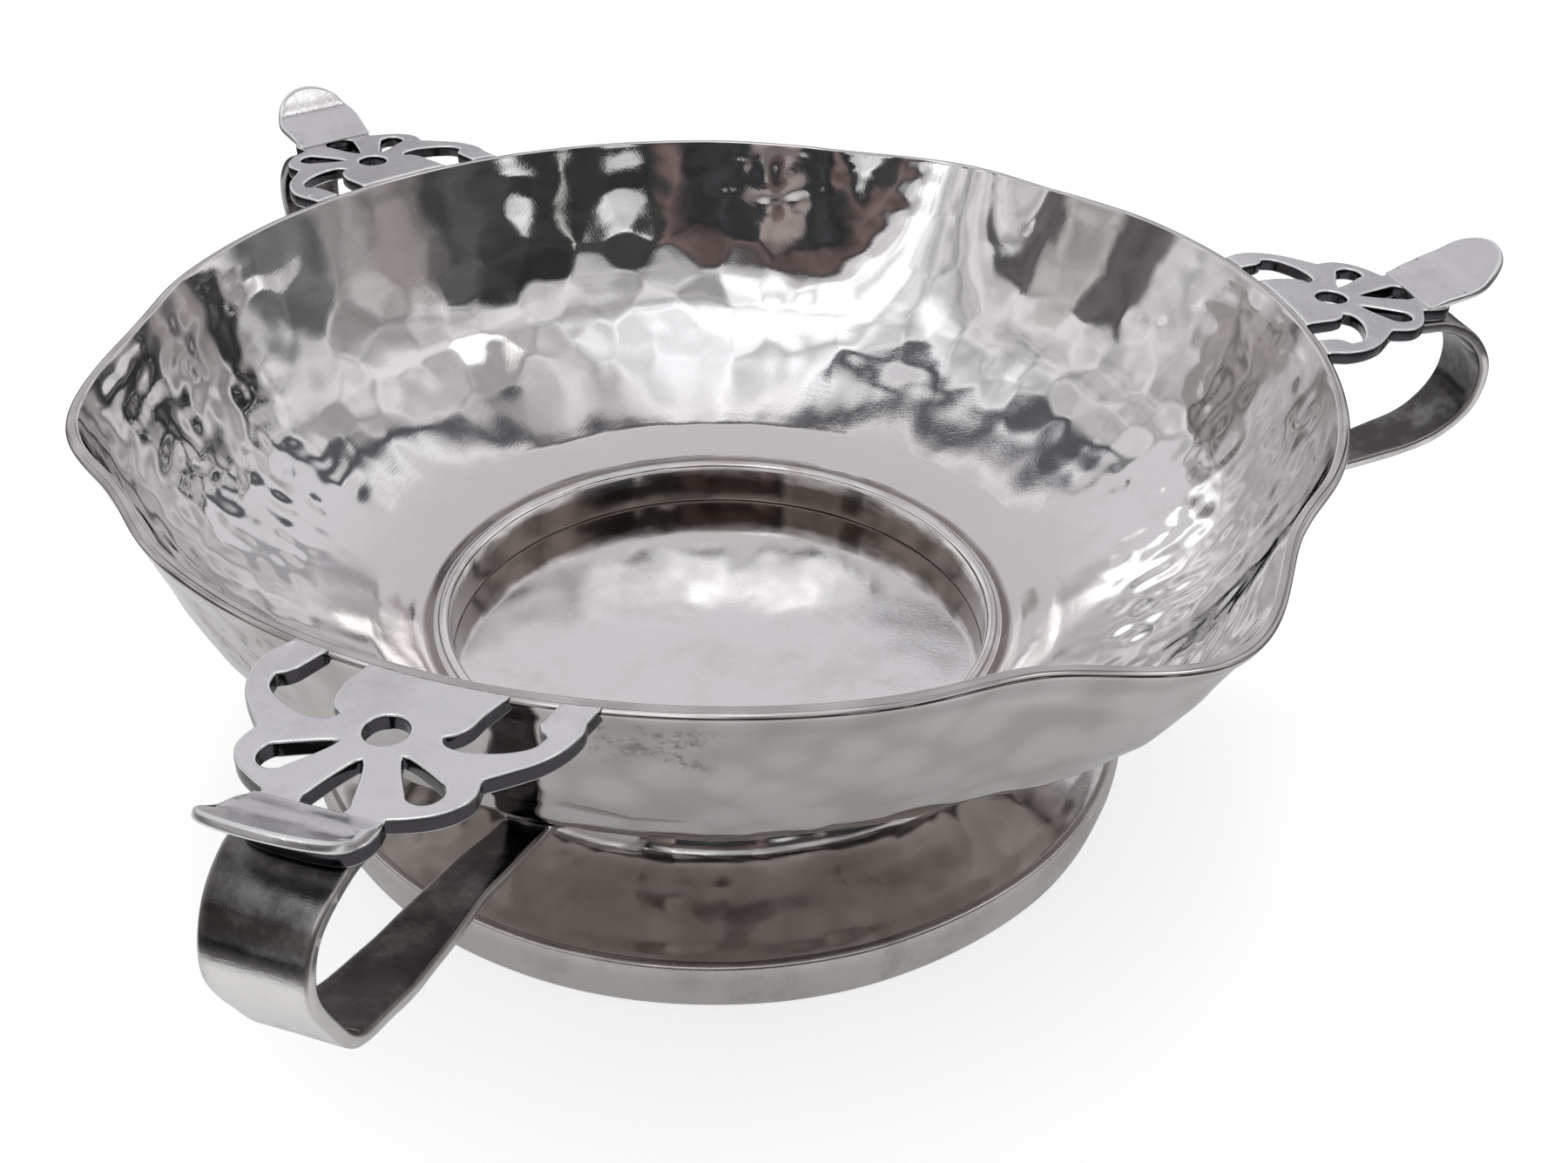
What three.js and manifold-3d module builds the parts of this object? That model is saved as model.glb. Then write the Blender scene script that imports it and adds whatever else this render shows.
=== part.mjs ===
// Footed bowl in hand-raised silver, with three pierced side handles.
// Units are millimetres and +Z is up.
// The origin is on the bowl's axis, on the flat top of the disc at the bottom of the well.
// The lip has three shallow pouring swells, one between each pair of handles.
import * as THREE from 'three';
import { mergeVertices } from 'three/addons/utils/BufferGeometryUtils.js';
import Module from 'manifold-3d';

const wasm = await Module();
wasm.setup();

// Heights above the well floor.
const footBottomZ = -11.9;
const footShoulderZ = -6.0;
const wellLipZ = 5.5;
const rimZ = 37.8;
const plateTopZ = 38.6;

// The clearance that soldered neighbours keep.
const jointGap = 0.3;

// Bowl.
const bowlSheet = 1.25;
const rimRadius = 64.7;
const bowlHoleRadius = 32.85;
const bowlSegments = 108;
// Outside of the bowl from the hole in its floor up to the lip, as [radius, height].
const bowlOutside = [
  [bowlHoleRadius, 3.72],
  [35.6, 4.05],
  [38.9, 5.45],
  [44.7, 8.7],
  [49.6, 11.85],
  [53.05, 15.0],
  [56.2, 18.2],
  [58.1, 21.35],
  [60.35, 25.55],
  [62.35, 30.85],
  [rimRadius, rimZ],
];

// Lip swells. The bowl is raised by hand, so each swell has a place, a depth and a dip of its own.
const swells = [
  { azimuth: 82.4, swell: 5.4, dip: 2.0 },
  { azimuth: 212.5, swell: 2.2, dip: 1.2 },
  { azimuth: 328.8, swell: 4.2, dip: 2.0 },
];
const swellHalfWidth = 16;
const flankPinch = 0.7;
const flankPinchWidth = 6;
const rimLift = 0.15;
const rimShift = [0.7, 0.15];
const swellStartZ = 11.9;
const swellPower = 0.74;

// Well: a collar with a rounded lip over a flat disc.
const wellRadius = 31.25;
const collarOuterRadius = 32.5;
const discThickness = 1.2;

// Foot: a flared skirt with a band round its edge.
const footSheet = 1.2;
const footSegments = 72;
const footOutside = [
  [34.6, 3.35],
  [34.4, 1.6],
  [34.75, -0.6],
  [36.2, -2.6],
  [39.2, -4.1],
  [43.0, -5.2],
  [46.6, -6.1],
];
const bandTopRadius = 48.3;
const bandBottomRadius = 47.5;
const bandInnerRadius = 45.8;
const bandSeatRadius = 46.95;
const bandSeatZ = -7.9;

// Handles. In a handle's own frame x runs outward from the axis and y runs along the lip.
// Each was bent by hand: crease and tip shape its thumb-piece, whose end is round from roundX on.
// bulge moves the strap's loop outward, and lean moves its top along the lip.
const plateThickness = 1.6;
const handles = [
  {
    name: 'front', azimuth: 270, bulge: -2.1, lean: -1.1,
    creaseX: 84.4, creaseZ: 1.55, tipX: 88.2, tipZ: 4.2, roundX: 85.9,
  },
  {
    name: 'left', azimuth: 150.5, bulge: 0, lean: 0,
    creaseX: 86.0, creaseZ: 2.7, tipX: 88.6, tipZ: 5.5, roundX: 84.2,
  },
  {
    name: 'right', azimuth: 30, bulge: 0, lean: -0.3,
    creaseX: 86.4, creaseZ: 2.7, tipX: 90.4, tipZ: 5.2, roundX: 84.8,
  },
];
const plateHalfWidth = 13.5;
// Outer edge of half a plate, lobe by lobe, from the lip out to the tip on the centre line.
const outerLobe = [[64.6, 13.5], [66.2, 13.85], [68.3, 13.45], [70.4, 12.4], [72.0, 10.95], [73.6, 9.3]];
const middleLobe = [[73.6, 9.3], [74.7, 9.55], [75.9, 9.55], [77.1, 8.95], [78.2, 7.85], [79.0, 6.5], [79.7, 4.9]];
const tipLobe = [[79.7, 4.9], [80.7, 5.1], [82.2, 5.0], [83.4, 4.2], [83.9, 2.4], [84.0, 0]];
// The outer piercing opens onto the lip: an ogee edge, a half-moon and a nearly straight inner edge.
const moonNeckOuterY = 10.0;
const moonNeckInnerY = 6.1;
const moonOgee = [[66.4, 10.3], [67.1, 10.8], [67.55, 11.5]];
const moonArc = [[67.55, 11.5], [68.9, 11.1], [70.0, 9.8], [70.8, 8.0], [71.15, 6.2], [70.9, 4.9], [70.2, 4.3]];
const moonInner = [[70.2, 4.3], [69.6, 5.2], [68.4, 5.8], [66.8, 6.05]];
const roundHoleX = 70.85;
const roundHoleRadius = 1.76;
const sidePetal = { tip: [73.05, 2.6], end: [76.05, 6.0], endRadius: 1.45 };
const centrePetal = { tip: [74.3, 0], end: [79.2, 0], endRadius: 1.85 };

// Thumb-piece: a flat tongue on the plate's tip, rising outward to a rounded, upturned end.
const thumbThickness = 0.9;
const thumbHalfWidth = 5.6;
const thumbInnerX = 80.2;

// Strap: a flat band that loops from under the plate down to the bowl and narrows as it goes.
const strapThickness = 1.35;
const strapRoute = [
  [79.8, 35.95],
  [83.4, 35.95],
  [87.3, 34.05],
  [89.8, 30.1],
  [89.5, 25.4],
  [86.2, 21.3],
  [79.4, 18.6],
  [72.6, 17.0],
  [62.6, 15.3],
  [53.0, 12.7],
  [47.6, 11.2],
];
const strapWidths = [10.4, 10.2, 9.5, 8.9, 8.6, 8.0, 6.9, 6.3, 5.4, 4.7, 4.5];
const strapSteps = 40;
const bulgeZ = 25;
const bulgeHalfHeight = 9;
const leanStartZ = 18;
const strapChamfer = 0.3;

const silver = new THREE.MeshStandardMaterial({ color: 0xcfcac8, roughness: 0.16, metalness: 1 });
const footSilver = new THREE.MeshStandardMaterial({ color: 0xb9b3b0, roughness: 0.18, metalness: 1 });
const wellSilver = new THREE.MeshStandardMaterial({ color: 0xc4bebc, roughness: 0.2, metalness: 1 });
const handleSilver = new THREE.MeshStandardMaterial({ color: 0xbdbabd, roughness: 0.24, metalness: 1 });
const wornSilver = new THREE.MeshStandardMaterial({ color: 0x8c8885, roughness: 0.32, metalness: 1 });

const degrees = THREE.MathUtils.degToRad;

// Signed angle in degrees from one azimuth to another.
function angleFrom(azimuth, centre) {
  return THREE.MathUtils.euclideanModulo(azimuth - centre + 180, 360) - 180;
}

// A smooth bump that is 1 at its centre and 0 beyond its half width.
function bump(offset, halfWidth) {
  if (Math.abs(offset) >= halfWidth) return 0;
  return Math.cos((Math.PI / 2) * (offset / halfWidth)) ** 2;
}

// How far the lip stands out from the plain circle, and how high it is, at an azimuth.
function lipAt(azimuth) {
  let out = 0;
  let height = rimZ + rimLift * Math.cos(degrees(3 * (azimuth - handles[0].azimuth)));
  for (const { azimuth: centre, swell, dip } of swells) {
    const offset = angleFrom(azimuth, centre);
    const flank = (Math.abs(offset) - 1.15 * swellHalfWidth) / flankPinchWidth;
    out += swell * bump(offset, swellHalfWidth) - flankPinch * Math.exp(-flank * flank);
    height -= dip * bump(offset, 1.2 * swellHalfWidth);
  }
  return { out, height };
}

// Pushes a turned shape out into the swells, which fade away down the wall.
function pushOutSwells(geometry) {
  const position = geometry.attributes.position;
  const baseZ = bowlOutside[0][1];
  for (let i = 0; i < position.count; i++) {
    const x = position.getX(i);
    const y = position.getY(i);
    const z = position.getZ(i);
    const azimuth = THREE.MathUtils.radToDeg(Math.atan2(y, x));
    const { out, height } = lipAt(azimuth);
    const rise = Math.max(0, (z - swellStartZ) / (rimZ - swellStartZ));
    const share = Math.min(1.02, rise ** swellPower);
    const radius = Math.hypot(x, y);
    const pushed = radius > 0 ? (radius + out * share) / radius : 1;
    position.setX(i, x * pushed + rimShift[0] * share);
    position.setY(i, y * pushed + rimShift[1] * share);
    position.setZ(i, baseZ + (z - baseZ) * (height - baseZ) / (rimZ - baseZ));
  }
  return geometry;
}

// Points along a smooth curve through the given points, in the plane.
function smooth(points, count) {
  const curve = new THREE.CatmullRomCurve3(points.map(([x, y]) => new THREE.Vector3(x, y, 0)), false, 'centripetal');
  return curve.getSpacedPoints(count).map((p) => new THREE.Vector2(p.x, p.y));
}

// Points moved sideways off a line by a distance, to the left of its direction.
function offsetLine(points, distance) {
  return points.map((point, i) => {
    const before = points[Math.max(i - 1, 0)];
    const after = points[Math.min(i + 1, points.length - 1)];
    const along = new THREE.Vector2().subVectors(after, before).normalize();
    return new THREE.Vector2(point.x - along.y * distance, point.y + along.x * distance);
  });
}

// A closed solid of revolution about Z from a closed section of [radius, height] points.
function turned(section, segments) {
  const closed = [...section, section[0]];
  const geometry = new THREE.LatheGeometry(closed, segments);
  geometry.rotateX(Math.PI / 2);
  return facingOut(geometry);
}

// Signed volume of a closed mesh: negative when its faces point inward.
function signedVolume(geometry) {
  const position = geometry.attributes.position;
  const index = geometry.index;
  const a = new THREE.Vector3();
  const b = new THREE.Vector3();
  const c = new THREE.Vector3();
  let volume = 0;
  for (let i = 0; i < index.count; i += 3) {
    a.fromBufferAttribute(position, index.getX(i));
    b.fromBufferAttribute(position, index.getX(i + 1));
    c.fromBufferAttribute(position, index.getX(i + 2));
    volume += a.dot(b.cross(c)) / 6;
  }
  return volume;
}

// The same mesh with shared vertices merged and its faces pointing out.
function facingOut(geometry) {
  geometry.deleteAttribute('normal');
  geometry.deleteAttribute('uv');
  const merged = mergeVertices(geometry, 1e-4);
  const keep = [];
  const index = merged.index;
  for (let i = 0; i < index.count; i += 3) {
    const [a, b, c] = [index.getX(i), index.getX(i + 1), index.getX(i + 2)];
    if (a !== b && b !== c && a !== c) keep.push(a, b, c);
  }
  merged.setIndex(keep);
  if (signedVolume(merged) < 0) {
    for (let i = 0; i < keep.length; i += 3) [keep[i], keep[i + 1]] = [keep[i + 1], keep[i]];
    merged.setIndex(keep);
  }
  return merged;
}

function toSolid(geometry) {
  const merged = facingOut(geometry.clone());
  return new wasm.Manifold(new wasm.Mesh({
    numProp: 3,
    vertProperties: new Float32Array(merged.attributes.position.array),
    triVerts: new Uint32Array(merged.index.array),
  }));
}

function fromSolid(solid) {
  const mesh = solid.getMesh();
  const geometry = new THREE.BufferGeometry();
  geometry.setAttribute('position', new THREE.BufferAttribute(new Float32Array(mesh.vertProperties), 3));
  geometry.setIndex([...mesh.triVerts]);
  return geometry;
}

const object = new THREE.Group();

function add(name, geometry, material, parent = object) {
  geometry.computeVertexNormals();
  const mesh = new THREE.Mesh(geometry, material);
  mesh.name = name;
  parent.add(mesh);
  return mesh;
}

// Bowl: one sheet from the floor's hole up the wall, round over the lip and back down inside.
const outsideLine = smooth(bowlOutside, 13);
const insideLine = offsetLine(outsideLine, bowlSheet);
const lipOuter = outsideLine[outsideLine.length - 1];
const lipInner = insideLine[insideLine.length - 1];
const lipTop = new THREE.Vector2((lipOuter.x + lipInner.x) / 2, lipOuter.y + 0.3);
const bowlSection = [...outsideLine, lipTop, ...insideLine.reverse()];
add('bowl', facingOut(pushOutSwells(turned(bowlSection, bowlSegments))), silver);

// The space that the bowl and its clearance fill, used to trim what meets its outside.
const clearLine = offsetLine(smooth(bowlOutside, 13), -jointGap);
const clearTop = clearLine[clearLine.length - 1];
const bowlSpace = turned([
  new THREE.Vector2(0, clearLine[0].y),
  ...clearLine,
  new THREE.Vector2(0, clearTop.y),
], bowlSegments);
const bowlSpaceSolid = toSolid(pushOutSwells(bowlSpace));

// Well collar, with a rounded lip a little above the floor of the bowl.
const collarSection = [
  [wellRadius, 0],
  [collarOuterRadius, 0],
  [collarOuterRadius, wellLipZ - 0.35],
  [collarOuterRadius - 0.3, wellLipZ],
  [wellRadius + 0.45, wellLipZ],
  [wellRadius + 0.1, wellLipZ - 0.35],
  [wellRadius, wellLipZ - 0.9],
].map(([r, z]) => new THREE.Vector2(r, z));
add('well_collar', turned(collarSection, footSegments), wellSilver);

// Well disc, the flat floor that the origin lies on. The collar sits in a shallow step round its edge.
const discSection = [
  [0, -discThickness],
  [collarOuterRadius, -discThickness],
  [collarOuterRadius, -jointGap],
  [wellRadius - jointGap, -jointGap],
  [wellRadius - jointGap, 0],
  [0, 0],
].map(([r, z]) => new THREE.Vector2(r, z));
add('well_disc', turned(discSection, footSegments), wellSilver);

// Foot skirt, concave from a short neck out to its edge, open underneath.
const skirtOutside = smooth(footOutside, 10);
const skirtInside = offsetLine(skirtOutside, -footSheet);
add('foot_skirt', turned([...skirtOutside, ...skirtInside.reverse()], footSegments), footSilver);

// Foot band, with a seat inside its top for the skirt's edge and a flat bottom.
const bandSection = [
  [bandInnerRadius, footBottomZ],
  [bandBottomRadius, footBottomZ],
  [bandTopRadius - 0.1, -8.9],
  [bandTopRadius, -7.4],
  [bandTopRadius - 0.3, footShoulderZ - 0.35],
  [bandTopRadius - 0.8, footShoulderZ],
  [bandSeatRadius, footShoulderZ],
  [bandSeatRadius, bandSeatZ],
  [bandInnerRadius, bandSeatZ],
].map(([r, z]) => new THREE.Vector2(r, z));
add('foot_band', turned(bandSection, footSegments), footSilver);

const mirrored = (points) => points.map((p) => new THREE.Vector2(p.x, -p.y));

// A drop-shaped piercing: a sharp tip, two gently bowed sides and a round end.
function petal({ tip, end, endRadius }) {
  const axis = new THREE.Vector2(end[0] - tip[0], end[1] - tip[1]);
  const length = axis.length();
  axis.normalize();
  const side = new THREE.Vector2(-axis.y, axis.x);
  const at = (along, across) => new THREE.Vector2(
    tip[0] + axis.x * along + side.x * across,
    tip[1] + axis.y * along + side.y * across,
  );
  const points = [at(0, 0)];
  for (const share of [0.25, 0.5, 0.75]) {
    points.push(at(share * length, endRadius * (share ** 0.75) * 0.97));
  }
  const endSteps = 9;
  for (let i = 0; i <= endSteps; i++) {
    const turn = Math.PI / 2 - (Math.PI * i) / endSteps;
    points.push(at(length + endRadius * Math.cos(turn), endRadius * Math.sin(turn)));
  }
  for (const share of [0.75, 0.5, 0.25]) {
    points.push(at(share * length, -endRadius * (share ** 0.75) * 0.97));
  }
  return points;
}

function circle(x, y, radius, count) {
  return Array.from({ length: count }, (_, i) => {
    const turn = (2 * Math.PI * i) / count;
    return new THREE.Vector2(x + radius * Math.cos(turn), y + radius * Math.sin(turn));
  });
}

// Where the lip's outer edge lies in a handle's own frame, at a distance y along the lip.
function lipEdge(handleAzimuth, y) {
  const turn = THREE.MathUtils.radToDeg(Math.asin(y / rimRadius));
  const azimuth = handleAzimuth + turn;
  const radius = rimRadius + lipAt(azimuth).out;
  const worldX = radius * Math.cos(degrees(azimuth)) + rimShift[0];
  const worldY = radius * Math.sin(degrees(azimuth)) + rimShift[1];
  const c = Math.cos(degrees(handleAzimuth));
  const s = Math.sin(degrees(handleAzimuth));
  return new THREE.Vector2(worldX * c + worldY * s + jointGap, -worldX * s + worldY * c);
}

function lipRun(handleAzimuth, fromY, toY, count) {
  return Array.from({ length: count + 1 }, (_, i) => lipEdge(handleAzimuth, fromY + ((toY - fromY) * i) / count));
}

// Flat pierced plate: five lobes, two half-moons open to the lip, three petals and a round hole.
function plateGeometry(azimuth) {
  const cornerUpper = lipEdge(azimuth, plateHalfWidth - 0.3);
  const moon = [
    ...smooth(moonOgee, 4),
    ...smooth(moonArc, 12).slice(1),
    ...smooth(moonInner, 5).slice(1),
  ];
  const upper = [
    ...smooth(outerLobe, 9).slice(1, -1),
    ...smooth(middleLobe, 10).slice(0, -1),
    ...smooth(tipLobe, 5),
  ];
  const lower = mirrored(upper.slice(0, -1)).reverse();
  const outline = [
    cornerUpper,
    ...upper,
    ...lower,
    ...lipRun(azimuth, -(plateHalfWidth - 0.3), -moonNeckOuterY, 2),
    ...mirrored(moon),
    ...lipRun(azimuth, -moonNeckInnerY, moonNeckInnerY, 6),
    ...[...moon].reverse(),
    ...lipRun(azimuth, moonNeckOuterY, plateHalfWidth - 1.2, 1),
  ];
  const shape = new THREE.Shape(outline.reverse());
  const holes = [
    petal(centrePetal),
    petal(sidePetal),
    mirrored(petal(sidePetal)),
    circle(roundHoleX, 0, roundHoleRadius, 20),
  ];
  for (const hole of holes) shape.holes.push(new THREE.Path(hole));
  const geometry = new THREE.ExtrudeGeometry(shape, { depth: plateThickness, bevelEnabled: false });
  geometry.translate(0, 0, plateTopZ - plateThickness);
  return facingOut(geometry);
}

// Thumb-piece: a side profile drawn across the width, trimmed to a tongue with a rounded end.
function thumbGeometry({ creaseX, creaseZ, tipX, tipZ, roundX }) {
  const baseZ = plateTopZ + jointGap;
  const slope = (tipZ - creaseZ) / (tipX - creaseX);
  const spare = 1.5;
  const under = smooth([
    [thumbInnerX, 0],
    [(thumbInnerX + creaseX) / 2, creaseZ * 0.28],
    [creaseX, creaseZ - 0.7],
    [(creaseX + tipX) / 2, (creaseZ + tipZ) / 2 - 0.8],
    [tipX, tipZ - 0.7],
    [tipX + spare, tipZ - 0.7 + spare * slope],
  ], 13);
  const over = offsetLine(under, thumbThickness);
  over[0].x = thumbInnerX + 0.5;
  const profile = new THREE.Shape([...under, ...over.reverse()]);
  const tongue = new THREE.ExtrudeGeometry(profile, { depth: 2 * thumbHalfWidth + 2, bevelEnabled: false });
  tongue.rotateX(Math.PI / 2);
  tongue.translate(0, thumbHalfWidth + 1, baseZ);
  const endSteps = 18;
  const plan = [
    new THREE.Vector2(thumbInnerX - 1, thumbHalfWidth - 0.3),
    new THREE.Vector2(thumbInnerX - 1, 0.3 - thumbHalfWidth),
  ];
  for (let i = 0; i <= endSteps; i++) {
    const turn = -Math.PI / 2 + (Math.PI * i) / endSteps;
    const reach = Math.max(0, Math.cos(turn)) ** 0.85;
    plan.push(new THREE.Vector2(roundX + (tipX - roundX) * reach, thumbHalfWidth * Math.sin(turn)));
  }
  const cutter = new THREE.ExtrudeGeometry(new THREE.Shape(plan), { depth: 20, bevelEnabled: false });
  cutter.translate(0, 0, baseZ - 5);
  return fromSolid(toSolid(tongue).intersect(toSolid(cutter)));
}

// Strap: a chamfered flat section carried along its route, then trimmed where it meets the bowl.
function strapGeometry({ azimuth, bulge, lean }) {
  const bent = strapRoute.map(([x, z]) => {
    const rise = Math.max(0, (z - leanStartZ) / (plateTopZ - leanStartZ));
    return new THREE.Vector3(x + bulge * bump(z - bulgeZ, bulgeHalfHeight), lean * rise, z);
  });
  const route = new THREE.CatmullRomCurve3(bent, false, 'centripetal');
  const rings = [];
  for (let i = 0; i <= strapSteps; i++) {
    const share = i / strapSteps;
    const centre = route.getPoint(share);
    const along = route.getTangent(share);
    const out = new THREE.Vector3(-along.z, 0, along.x).normalize();
    const place = share * (strapWidths.length - 1);
    const k = Math.min(Math.floor(place), strapWidths.length - 2);
    const half = THREE.MathUtils.lerp(strapWidths[k], strapWidths[k + 1], place - k) / 2;
    const t = strapThickness / 2;
    const c = strapChamfer;
    const section = [
      [half - c, t], [half, t - c], [half, c - t], [half - c, -t],
      [c - half, -t], [-half, c - t], [-half, t - c], [c - half, t],
    ];
    rings.push(section.map(([y, n]) => new THREE.Vector3(centre.x + out.x * n, centre.y + y, centre.z + out.z * n)));
  }
  const sides = rings[0].length;
  const vertices = rings.flat().flatMap((p) => [p.x, p.y, p.z]);
  const index = [];
  for (let i = 0; i < strapSteps; i++) {
    for (let j = 0; j < sides; j++) {
      const a = i * sides + j;
      const b = i * sides + ((j + 1) % sides);
      index.push(a, b, b + sides, a, b + sides, a + sides);
    }
  }
  const last = strapSteps * sides;
  for (let j = 1; j < sides - 1; j++) {
    index.push(0, j + 1, j, last, last + j, last + j + 1);
  }
  const geometry = new THREE.BufferGeometry();
  geometry.setAttribute('position', new THREE.Float32BufferAttribute(vertices, 3));
  geometry.setIndex(index);
  if (signedVolume(geometry) < 0) geometry.setIndex(index.reverse());
  geometry.rotateZ(degrees(azimuth));
  const trimmed = fromSolid(toSolid(geometry).subtract(bowlSpaceSolid));
  trimmed.rotateZ(-degrees(azimuth));
  return trimmed;
}

for (const handle of handles) {
  const group = new THREE.Group();
  group.rotation.z = degrees(handle.azimuth);
  add(`plate_${handle.name}`, plateGeometry(handle.azimuth), handleSilver, group);
  add(`thumb_${handle.name}`, thumbGeometry(handle), handleSilver, group);
  add(`strap_${handle.name}`, strapGeometry(handle), wornSilver, group);
  object.add(group);
}

export default object;
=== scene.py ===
import math

import bmesh
import bpy
import numpy as np
from mathutils import Matrix, Vector, geometry


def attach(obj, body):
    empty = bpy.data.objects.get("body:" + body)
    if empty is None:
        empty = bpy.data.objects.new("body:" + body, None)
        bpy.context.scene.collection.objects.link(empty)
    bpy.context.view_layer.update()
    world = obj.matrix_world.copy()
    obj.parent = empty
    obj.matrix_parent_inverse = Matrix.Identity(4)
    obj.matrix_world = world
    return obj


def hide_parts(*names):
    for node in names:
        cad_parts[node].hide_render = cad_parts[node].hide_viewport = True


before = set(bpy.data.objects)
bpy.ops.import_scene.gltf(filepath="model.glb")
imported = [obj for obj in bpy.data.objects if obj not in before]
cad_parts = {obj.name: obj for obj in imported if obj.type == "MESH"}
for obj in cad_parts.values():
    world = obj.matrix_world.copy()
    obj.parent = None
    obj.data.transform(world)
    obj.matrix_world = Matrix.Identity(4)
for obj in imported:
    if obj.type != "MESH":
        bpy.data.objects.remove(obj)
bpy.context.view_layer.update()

# Sizes in millimetres, as the solids have them. MM turns them into Blender's metres.
MM = 0.001
foot_bottom_z = -11.9
foot_shoulder_z = -6.0
well_lip_z = 5.5
rim_z = 37.8
plate_top_z = 38.6

rim_radius = 64.7
bowl_hole_radius = 32.85
bowl_outside = [
    (bowl_hole_radius, 3.72), (35.6, 4.05), (38.9, 5.45), (44.7, 8.7), (49.6, 11.85), (53.05, 15.0),
    (56.2, 18.2), (58.1, 21.35), (60.35, 25.55), (62.35, 30.85), (rim_radius, rim_z),
]
# The inner face turns from the floor into the wall a little more sharply than the outer one.
bowl_inside = [
    (32.75, 4.97), (34.6, 5.1), (36.3, 5.6), (38.0, 6.3), (39.3, 6.95), (40.6, 7.8), (42.3, 8.98),
    (44.2, 10.36), (46.2, 11.86), (48.2, 13.4), (50.2, 15.05), (52.1, 16.75), (53.8, 18.4), (55.1, 19.95),
    (56.2, 21.5), (57.2, 23.1), (58.9, 26.3), (60.2, 29.3), (61.0, 31.3), (62.2, 34.7), (63.42, 38.2),
]

# Lip swells: azimuth in degrees, how far out, how far down, and how fast they fade down the wall.
swells = [(82.4, 5.38, 2.0, 1.3), (212.5, 2.2, 1.2, 0.74), (328.8, 4.2, 2.0, 0.74)]
swell_half_width = 16
flank_pinch = 0.7
flank_pinch_place = 1.15 * swell_half_width
flank_pinch_width = 6
dip_half_width = 1.2 * swell_half_width
rim_lift = 0.15
rim_shift = (0.7, 0.15)
swell_start_z = 11.9
shift_power = 0.9

# Where the inner wall is less even: azimuth and half width in degrees, how much, and how far up the wall
# from the hole it starts.
rough_sides = [(0, 62, 1.0, 12), (200, 34, 1.0, 12), (102, 24, 0.8, 36)]
# The middle radii of the wall and the skirt, where the hammer marks are as wide as their sizes say.
wall_radius = 58
skirt_radius = 41

well_radius = 31.25
collar_outer_radius = 32.5
disc_thickness = 1.2

foot_sheet = 1.2
foot_outside = [
    (34.6, 3.6), (34.4, 1.6), (34.75, -0.6), (36.2, -2.6), (39.2, -4.1), (43.0, -5.2), (47.2, -6.2),
]
band_top_radius = 48.3
band_bottom_radius = 47.5
band_inner_radius = 45.8

plate_thickness = 1.6
plate_half_width = 13.5
outer_lobe = [(64.6, 13.5), (66.2, 13.85), (68.3, 13.45), (70.4, 12.4), (72.0, 10.95), (73.6, 9.3)]
middle_lobe = [
    (73.6, 9.3), (74.7, 9.55), (75.9, 9.55), (77.1, 8.95), (78.2, 7.85), (79.0, 6.5), (79.7, 4.9),
]
tip_lobe = [(79.7, 4.9), (80.7, 5.1), (82.2, 5.0), (83.4, 4.2), (83.9, 2.4), (84.0, 0)]
moon_neck_outer_y = 10.0
moon_neck_inner_y = 6.1
moon_ogee = [(66.4, 10.3), (67.1, 10.8), (67.55, 11.5)]
moon_arc = [(67.55, 11.5), (68.9, 11.1), (70.0, 9.8), (70.8, 8.0), (71.15, 6.2), (70.9, 4.9), (70.2, 4.3)]
moon_inner = [(70.2, 4.3), (69.6, 5.2), (68.4, 5.8), (66.8, 6.05)]
round_hole = (70.85, 1.76)
side_petal = ((73.05, 2.6), (76.05, 6.0), 1.45)
centre_petal = ((74.3, 0), (79.2, 0), 1.85)

thumb_thickness = 0.9
thumb_half_width = 5.6
thumb_inner_x = 80.2
# How far the tongue's root is feathered out, and how high it lies over the plate.
thumb_feathered = 2.6
thumb_settle = 0.3

strap_thickness = 1.35
strap_route = [
    (79.8, 36.2), (83.4, 36.1), (87.3, 34.05), (89.8, 30.1), (89.5, 25.4), (86.2, 21.3),
    (79.4, 18.6), (72.6, 17.0), (62.6, 15.3), (53.0, 12.7), (47.6, 11.2),
]
strap_widths = [10.4, 10.2, 9.5, 8.9, 8.6, 8.0, 6.9, 6.3, 5.4, 4.7, 4.5]
bulge_z = 25
bulge_half_height = 9
lean_start_z = 18

# Rounded arrises of the sawn sheet: points on each, and the least room they keep in a corner.
arris_points = 5
arris_room = 0.12

handles = [
    dict(name="front", azimuth=270, bulge=-2.1, lean=-1.1,
         crease=(84.4, 1.55), tip=(88.2, 4.2), round_x=85.9),
    dict(name="left", azimuth=150.5, bulge=0, lean=0,
         crease=(86.0, 2.3), tip=(88.6, 5.5), round_x=84.2),
    dict(name="right", azimuth=30, bulge=0, lean=-0.3,
         crease=(86.4, 2.1), tip=(90.4, 5.2), round_x=84.8),
]


# Curves

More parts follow.
